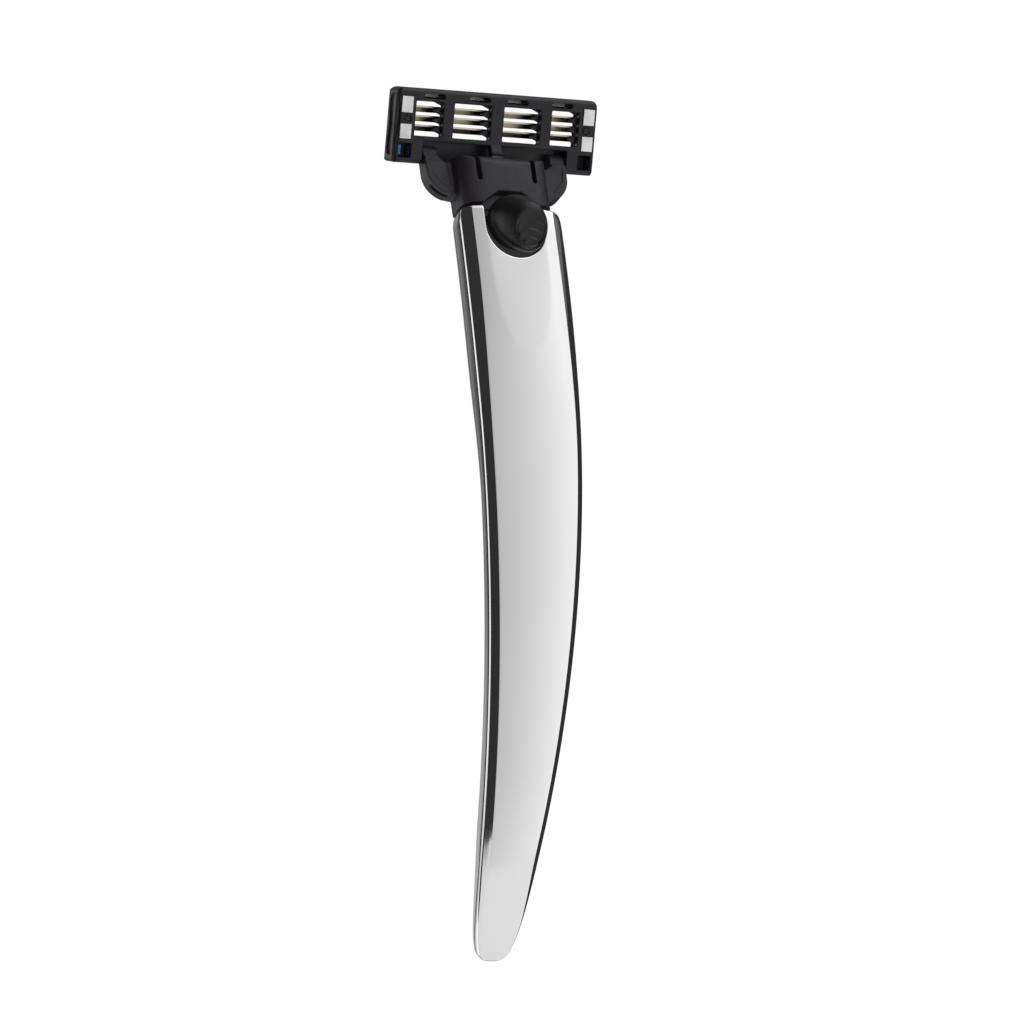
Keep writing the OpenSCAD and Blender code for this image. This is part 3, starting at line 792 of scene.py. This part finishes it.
def yoke():
    """The block that slips over the nose, with wings, arms and pivot pins."""
    side_view = [(0.6, 6), (0.6, -3.7), (5.0, -3.65), (7.4, -3.3), (9.2, -2.7), (10.4, -1.9),
                 (10.85, -1.0), (11.0, 0.0)]
    side_view += arc(8.0, 1.7, 3.1, 0, 90, 24) + [(8.0, 6)]
    block = prism(side_view, 0, -YOKE_HALF_W - 0.4, YOKE_HALF_W + 0.4)
    crown = [(9.35, -0.6), (9.3, 1.0), (9.0, 2.4), (8.2, 3.5), (6.8, 4.15), (5.0, 4.5),
             (2.5, 4.72), (0, 4.8)]
    half = [(0, -3.7), (7.7, -3.7)] + arc(7.7, -2.2, 1.5, 270, 360, 10) + catmull(crown, 4).tolist()
    section = half[:-1] + [(-x, b) for x, b in half[::-1]][:-1]
    body = combine(block, [prism(section, 1, 0, 12)], "INTERSECT")

    def wing(side):
        plan = [(8.0, 10.6), (8.0, 3.5), (9.4, 3.75)] + arc(9.4, 8.9, 5.2, -72, 0, 20) + [
            (14.6, 11.8), (11.7, 11.8), (11.7, 11.4), (10.4, 10.6)]
        return prism([(side * x, a) for x, a in plan], 2, PIVOT_B - ARM_R, PIVOT_B + 1.9)

    def arm(side):
        return bar(side * ARM_START, side * ARM_HALF_SPAN, PIVOT_A, PIVOT_B, ARM_R)

    def link_bar(side):
        x0, x1 = sorted((side * ARM_START, side * ARM_HALF_SPAN))
        return box([x0, 11.4, PIVOT_B - ARM_R], [x1, PIVOT_A, PIVOT_B + ARM_R])

    def pin(side):
        x0, x1 = side * (ARM_HALF_SPAN - 1), side * (ARM_HALF_SPAN + 1.6)
        return bar(x0, x1, PIVOT_A, PIVOT_B, PIN_R)

    combine(body, both(wing) + both(arm) + both(link_bar) + both(pin), "UNION")
    notch = [(-5.3, -1), (5.3, -1), (5.3, 0.9), (2.3, 2.9), (-2.3, 2.9), (-5.3, 0.9)]
    cuts = [box([-5.7, -1, -2.2], [5.7, 8.4, 2.6]), box([-1.6, 8, -1.1], [1.6, 12, 1.9]),
            prism(notch, 2, 2.5, 7.5)]

    def slit(side):
        x, half = side * SLIT_X, SLIT_HALF_W
        outline = arc(x, 5.6, half, 180, 360, 8) + [(x + half, 12), (x - half, 12)]
        return prism(outline, 2, 2.5, 6)

    def wing_slot(side):
        x0, x1 = sorted((side * 10.4, side * 13.8))
        return box([x0, 3.0, PIVOT_B + 0.2], [x1, 6.2, PIVOT_B + 0.9])

    def crease(side):
        """Shallow fan on the wing, leaving a crease where it meets the block."""
        plan = [(10.2, 11.0), (9.9, 5.6), (11.2, 5.4), (13.5, 8.2), (14.0, 11.0)]
        return prism([(side * x, a) for x, a in plan], 2, PIVOT_B + 1.75, PIVOT_B + 3)

    combine(body, cuts + both(slit) + both(wing_slot) + both(crease), "DIFFERENCE")
    return soften(body, 0.11, 8, "yoke_skin", on_neck)


dress(yoke(), "yoke_body", "yoke_plastic", [LOOKS["yoke_plastic"]], "yoke")

# ---------- the cartridge housing ----------

CART_W, CART_H, CART_T = 41.6, 14.3, 5.0
GUARD_T, RAIL_H, BAY_HALF_W = 1.5, 4.5, 14.9
WINDOW_LOW, WINDOW_HIGH = 5.3, 11.9
SIDE_BAR_X, SIDE_BAR_W, CENTRE_BAR_W, OUTER_WINDOW_X = 10.1, 2.2, 2.6, 16.9
SLOT_X = [-13.2, -3.9, 3.9, 13.2]
CLIP_X, CLIP_W = 18.8, 2.2
CAM_ARM, CAM_TURN, CAM_R = 2.42, 98.4, 0.75
BLADE_PITCH = 1.8
FINGER_H, FINGER_LEN = 6.6, 1.6
# Outline of the hollow in each end face, as height and depth
END_DISH = [(1.3, 2.4), (1.9, 1.3), (4.4, 1.15), (7.2, 1.45), (9.8, 1.15), (12.4, 1.3), (13.1, 2.5),
            (12.5, 3.8), (9.6, 3.95), (7.0, 3.6), (4.6, 3.95), (1.9, 3.7), (1.3, 2.4)]
# The wavy edge of the back plate, from guard to cap
END_WAVE = [(20.0, -0.5), (20.1, 0.8), (20.3, 2.8), (20.3, 4.6), (20.05, 6.4), (19.93, 8.4),
            (20.0, 10.2), (20.25, 12.0), (20.2, 13.4), (19.9, 14.8)]


def end_section():
    """The housing's section from guard to cap."""
    return (arc(0.6, 0.6, 0.6, 180, 270, 8) + arc(CART_H - 1.5, 1.4, 1.5, 270, 360, 14)
            + arc(CART_H - 1.3, CART_T - 1.3, 1.3, 0, 90, 12)
            + arc(0.9, CART_T - 0.9, 0.9, 90, 180, 10))


def plan_outline():
    """The housing seen square on, with rounded corners."""
    x = CART_W / 2
    right = arc(x - 0.9, 0.8, 0.9, -80, 0, 8) + arc(x - 1.5, CART_H - 1.4, 1.5, 0, 80, 10)
    return right + [(-p, h) for p, h in right[::-1]]


def rounded_depth():
    """The housing seen along its height: round outer edges on both ends."""
    x = CART_W / 2
    right = arc(x - 0.7, 0.6, 0.7, -90, 0, 8) + arc(x - 1.0, CART_T - 1.0, 1.0, 0, 90, 10)
    return [(p, q) for p, q in right] + [(-p, q) for p, q in right[::-1]]


def mirrored_box(low, high):
    """Two boxes, one on each side, given the right-hand one."""
    return [box(low, high), box([-high[0], low[1], low[2]], [-low[0], high[1], high[2]])]


def end_dish(side):
    """Dished end face inside a raised rim, wavy on its inner edge."""
    inner = CART_W / 2 - 0.4
    outline = catmull(END_DISH, 5)[:-1].tolist()
    x0, x1 = sorted((side * inner, side * (inner + 1)))
    return prism(outline, 0, x0, x1)


def bays_and_windows():
    """The docking bay, the blade bay, the strip's and the fins' seats, windows and end pockets."""
    bays = [box([-BAY_HALF_W, -1, GUARD_T], [BAY_HALF_W, RAIL_H, 6]),
            box([-18.6, 5.0, -1], [18.6, 12.2, 3.1]),
            box([-17.45, 12.72, -1], [17.45, 14.0, 1.2]),
            box([-19.65, 0.45, -1], [19.65, 4.05, 1.0])]
    side_low, side_high = SIDE_BAR_X - SIDE_BAR_W / 2, SIDE_BAR_X + SIDE_BAR_W / 2
    windows = mirrored_box([CENTRE_BAR_W / 2, WINDOW_LOW, 3], [side_low, WINDOW_HIGH, 6])
    windows += mirrored_box([side_high, WINDOW_LOW, 3], [OUTER_WINDOW_X, WINDOW_HIGH, 6])
    pockets = mirrored_box([17.3, 1.0, 1.7], [19.9, 3.8, 6])
    pockets += mirrored_box([17.8, 1.5, 0.9], [18.5, 3.3, 6])
    return bays + windows + pockets


def pin_bore(side):
    """The hole that the yoke's pivot pin turns in."""
    return bar(side * (BAY_HALF_W - 0.2), side * (BAY_HALF_W + 1.7), PIVOT_H, PIVOT_D, PIN_R + 0.05)


def clip_slots():
    """Slots through the housing for the clips' legs, and the seat of their front band."""
    low, high = CLIP_X - CLIP_W / 2 - 0.03, CLIP_X + CLIP_W / 2 + 0.03
    return (mirrored_box([low, 4.60, -1], [high, 4.93, 6])
            + mirrored_box([low, 12.37, -1], [high, 12.70, 6])
            + mirrored_box([low, 4.60, -1], [high, 12.70, 0.13]))


def drain_slot(x):
    """A slot in the cap rail, with rounded ends."""
    outline = arc(x - 1.72, 12.95, 0.45, 90, 270, 8) + arc(x + 1.72, 12.95, 0.45, -90, 90, 8)
    return prism(outline, 2, 1.0, 6)


def ring_and_step(side):
    """The ring groove between a clip's tabs, and the wavy step down to the end rim."""
    ring = prism(arc(side * 18.5, 8.5, 0.8, 0, 360, 28)[:-1], 2, CART_T - 0.3, 6)
    core = prism(arc(side * 18.5, 8.5, 0.58, 0, 360, 28)[:-1], 2, 3, 7)
    outside = [(side * x, h) for x, h in [(22, -1)] + catmull(END_WAVE, 6).tolist() + [(22, 15)]]
    return [combine(ring, [core], "DIFFERENCE"), prism(outside, 2, CART_T - 0.75, 6)]


def cam():
    """The round cam that the plunger presses on, and its web to the rail."""
    turn = rad(CAM_TURN) - math.asin(NECK_SIN) - math.asin(CART_SIN)
    h = PIVOT_H + CAM_ARM * math.cos(turn)
    d = PIVOT_D + CAM_ARM * math.sin(turn)
    web = [(h - 0.3, d - CAM_R + 0.06), (RAIL_H + 0.3, 3.4), (RAIL_H + 0.3, CART_T - 0.1),
           (h + 0.3, d + CAM_R - 0.06)]
    return [bar(-1.1, 1.1, h, d, CAM_R), prism(web, 0, -1.1, 1.1)]


def fingers():
    """Pointed fingers behind the blades, at one end of each window."""
    made = []
    half = SIDE_BAR_W / 2
    for x in (-SIDE_BAR_X - half, -CENTRE_BAR_W / 2, SIDE_BAR_X - half, OUTER_WINDOW_X):
        for k in range(4):
            h = FINGER_H + BLADE_PITCH * k
            root, tip = x + 0.3, x - FINGER_LEN
            tooth = [(root, h - 0.8), (x, h - 0.8), (tip, h - 0.12), (tip, h + 0.12),
                     (x, h + 0.8), (root, h + 0.8)]
            made.append(prism(tooth, 2, 3.2, 3.8))
    return made


def housing():
    """The cartridge's frame, seen from its back."""
    body = prism(end_section(), 0, -CART_W / 2, CART_W / 2)
    combine(body, [prism(plan_outline(), 2, -1, 6), prism(rounded_depth(), 1, -1, 15)], "INTERSECT")
    cuts = both(end_dish) + bays_and_windows() + both(pin_bore) + clip_slots()
    cuts += [drain_slot(x) for x in SLOT_X]
    cuts += ring_and_step(-1) + ring_and_step(1)
    combine(body, cuts, "DIFFERENCE")
    combine(body, cam() + fingers(), "UNION")
    return soften(body, 0.11, 2, "housing_skin", on_cart)


dress(housing(), "cartridge", "housing_plastic", [LOOKS["housing_plastic"]], "cartridge_housing")

# ---------- the CAD nodes that stay get their finished materials ----------

for entry in frame["record"]["subparts"]:
    node = frame["nodes"][entry["node"]]
    if not node.hide_render:
        node.data.materials.clear()
        node.data.materials.append(LOOKS[entry["material_slot"]])

# ---------- floor, light, camera ----------

ROOM_HALF, ROOM_HEIGHT = 3, 6


def brightness(tree, along, stops):
    """A brightness that follows the stops, given as places along X and values."""
    share = tree.nodes.new("ShaderNodeMapRange")
    share.inputs["From Min"].default_value = stops[0][0]
    share.inputs["From Max"].default_value = stops[-1][0]
    level = tree.nodes.new("ShaderNodeFloatCurve")
    curve = level.mapping.curves[0]
    span = stops[-1][0] - stops[0][0]
    for place, bright in stops[1:-1]:
        curve.points.new((place - stops[0][0]) / span, bright)
    curve.points[0].location = (0, stops[0][1])
    curve.points[-1].location = (1, stops[-1][1])
    for point in curve.points:
        point.handle_type = "VECTOR"
    level.mapping.update()
    tree.links.new(along, share.inputs["Value"])
    tree.links.new(share.outputs["Result"], level.inputs["Value"])
    return level.outputs["Value"]


def screen(name, points, faces, stops, gain=1.0, front_stops=None, turn_y=(0, 1)):
    """A soft screen that shows in reflections only. Its brightness follows stops along X, and
    turns into front_stops between the two places turn_y along Y."""
    mesh = bpy.data.meshes.new(name)
    mesh.from_pydata(points, [], faces)
    obj = link(name, mesh)
    material = bpy.data.materials.new(name)
    material.use_nodes = True
    tree = material.node_tree
    tree.nodes.clear()
    coord = tree.nodes.new("ShaderNodeTexCoord")
    split = tree.nodes.new("ShaderNodeSeparateXYZ")
    glow = tree.nodes.new("ShaderNodeEmission")
    output = tree.nodes.new("ShaderNodeOutputMaterial")
    tree.links.new(coord.outputs["Object"], split.inputs["Vector"])
    value = brightness(tree, split.outputs["X"], stops)
    if front_stops:
        mix = tree.nodes.new("ShaderNodeMix")
        share = spread(tree, split.outputs["Y"], 0, 1, *turn_y)
        tree.links.new(share, mix.inputs["Factor"])
        tree.links.new(value, mix.inputs["A"])
        tree.links.new(brightness(tree, split.outputs["X"], front_stops), mix.inputs["B"])
        value = mix.outputs["Result"]
    scale = tree.nodes.new("ShaderNodeMath")
    scale.operation = "MULTIPLY"
    scale.inputs[1].default_value = gain
    tree.links.new(value, scale.inputs[0])
    tree.links.new(scale.outputs["Value"], glow.inputs["Strength"])
    tree.links.new(glow.outputs["Emission"], output.inputs["Surface"])
    mesh.materials.append(material)
    obj.visible_camera = False
    obj.visible_diffuse = False
    obj.visible_shadow = False


def upper_screen():
    """Part of a cylinder about the X axis over the right-hand side."""
    radius, columns = 0.8, 36
    points, faces = [], []
    for i in range(columns + 1):
        turn = rad(-68 + 136 * i / columns)
        for x in (-0.12, 0.95):
            points.append((x, radius * math.sin(turn), radius * math.cos(turn)))
    for i in range(columns):
        faces.append([2 * i, 2 * i + 1, 2 * i + 3, 2 * i + 2])
    screen("upper_screen", points, faces,
           [(-0.12, 0.65), (0.05, 0.67), (0.3, 0.8), (0.6, 1.0), (0.95, 1.0)], 1.0,
           [(-0.12, 0.42), (0.05, 0.5), (0.3, 0.72), (0.6, 1.0), (0.95, 1.0)], (-0.72, -0.4))


def lower_screen():
    """A screen below the light table, which the upright edges of the shells reflect."""
    z = -0.3
    points = [(-1.4, -0.35, z), (0.2, -0.35, z), (0.2, 0.4, z), (-1.4, 0.4, z)]
    screen("lower_screen", points, [[0, 1, 2, 3]],
           [(-1.4, 0.5), (-0.13, 0.5), (-0.12, 0.2), (-0.1, 0.2), (-0.05, 0.3), (0.12, 0.2),
            (0.2, 0.2)], 2.1,
           [(-1.4, 0.5), (-0.13, 0.5), (-0.12, 0.03), (-0.1, 0.03), (-0.05, 0.13), (0.12, 0.1),
            (0.2, 0.1)], (-0.085, 0.02))


def wall(name, y, outline, stops, gain):
    """An upright screen square to Y, given its outline in X and Z."""
    screen(name, [(x, y, z) for x, z in outline], [list(range(len(outline)))], stops, gain)


def area_light(name, place, target, size, power, glossy):
    """A soft light aimed at target. A light that isn't glossy doesn't show in reflections."""
    data = bpy.data.lights.new(name, "AREA")
    data.shape = "RECTANGLE"
    data.size, data.size_y = size
    data.energy = power
    obj = bpy.data.objects.new(name, data)
    bpy.context.scene.collection.objects.link(obj)
    way = Vector(target) - Vector(place)
    obj.location = place
    obj.rotation_euler = way.to_track_quat("-Z", "Y").to_euler()
    obj.visible_glossy = glossy


def glowing(name, points, faces, lights_object):
    """A white glowing surface behind the object, which the chrome does not reflect."""
    mesh = bpy.data.meshes.new(name)
    mesh.from_pydata(points, [], faces)
    obj = link(name, mesh)
    material, _, shader = new_material(name, (0.02, 0.02, 0.02), 0.9)
    shader.inputs["Specular IOR Level"].default_value = 0
    shader.inputs["Emission Color"].default_value = (1, 1, 1, 1)
    shader.inputs["Emission Strength"].default_value = 1.0
    mesh.materials.append(material)
    obj.visible_glossy = False
    obj.visible_diffuse = lights_object
    obj.visible_shadow = lights_object


def floor_and_backdrop():
    """A light table, and a plain white room above it that gives no light of its own."""
    low, high, half = cad_box[0][2], ROOM_HEIGHT, ROOM_HALF
    corners = [(-half, -half), (half, -half), (half, half), (-half, half)]
    table = [(x, y, low) for x, y in corners]
    glowing("light_table", table, [[0, 1, 2, 3]], True)
    room = table + [(x, y, high) for x, y in corners]
    sides = [[i, (i + 1) % 4, 4 + (i + 1) % 4, 4 + i] for i in range(4)]
    glowing("backdrop", room, sides + [[4, 5, 6, 7]], False)


def camera():
    """A long lens, turned about the handle's length and tipped a little towards the tail."""
    yaw, pitch, roll = rad(23.844), rad(7.676), rad(-0.288)
    target, distance = Vector((0, 0, 0.012)), 1.6
    # Width of the image, width of the sensor, and image points for each millimetre at the target
    image, sensor, scale = 1024, 36, 5.311
    shift_right, shift_up = 0.2992, 1.3997
    right = Vector((math.cos(yaw), 0, math.sin(yaw)))
    up = Vector((-math.sin(pitch) * math.sin(yaw), math.cos(pitch),
                 math.sin(pitch) * math.cos(yaw)))
    back = right.cross(up)
    rolled_right = right * math.cos(roll) + up * math.sin(roll)
    rolled_up = up * math.cos(roll) - right * math.sin(roll)
    aim = target + rolled_right * shift_right * MM + rolled_up * shift_up * MM
    data = bpy.data.cameras.new("camera")
    data.sensor_width = sensor
    data.lens = scale * distance / MM * sensor / image
    data.clip_end = 20
    obj = bpy.data.objects.new("camera", data)
    bpy.context.scene.collection.objects.link(obj)
    basis = Matrix((rolled_right, rolled_up, back)).transposed().to_4x4()
    obj.matrix_world = Matrix.Translation(aim + back * distance) @ basis
    bpy.context.scene.camera = obj


floor_and_backdrop()
upper_screen()
lower_screen()
wall("head_wall", 0.5, [(-0.05, -0.12), (1.0, -0.12), (1.0, 0.35), (-0.05, 0.35)],
     [(-0.05, 0.2), (0.2, 0.9), (0.55, 0.9), (0.62, 0.08), (1.0, 0.08)], 1.6)
wall("tail_wall", -0.56,
     [(-1.1, -0.6), (0.7, -0.6), (0.7, 0.8), (-0.09, 0.74), (-0.6, 0.46), (-1.1, 0.1)],
     [(-1.1, 0.8), (0.0, 0.8), (0.7, 0.9)], 0.98)
area_light("top_fill", (0, 0, 1.6), (0, 0, 0), (2.2, 2.2), 62, False)
area_light("head_strip", (0.55, 1.0, 0.02), (0, 0.06, 0.01), (1.3, 0.25), 22, True)
area_light("tail_fill", (-0.5, -0.9, 0.8), (0, 0, 0), (0.8, 0.8), 6, False)
camera()

world = bpy.data.worlds.new("world")
world.use_nodes = True
world.node_tree.nodes["Background"].inputs["Color"].default_value = (1, 1, 1, 1)
world.node_tree.nodes["Background"].inputs["Strength"].default_value = 0.03
bpy.context.scene.world = world
bpy.context.scene.view_settings.view_transform = "Standard"
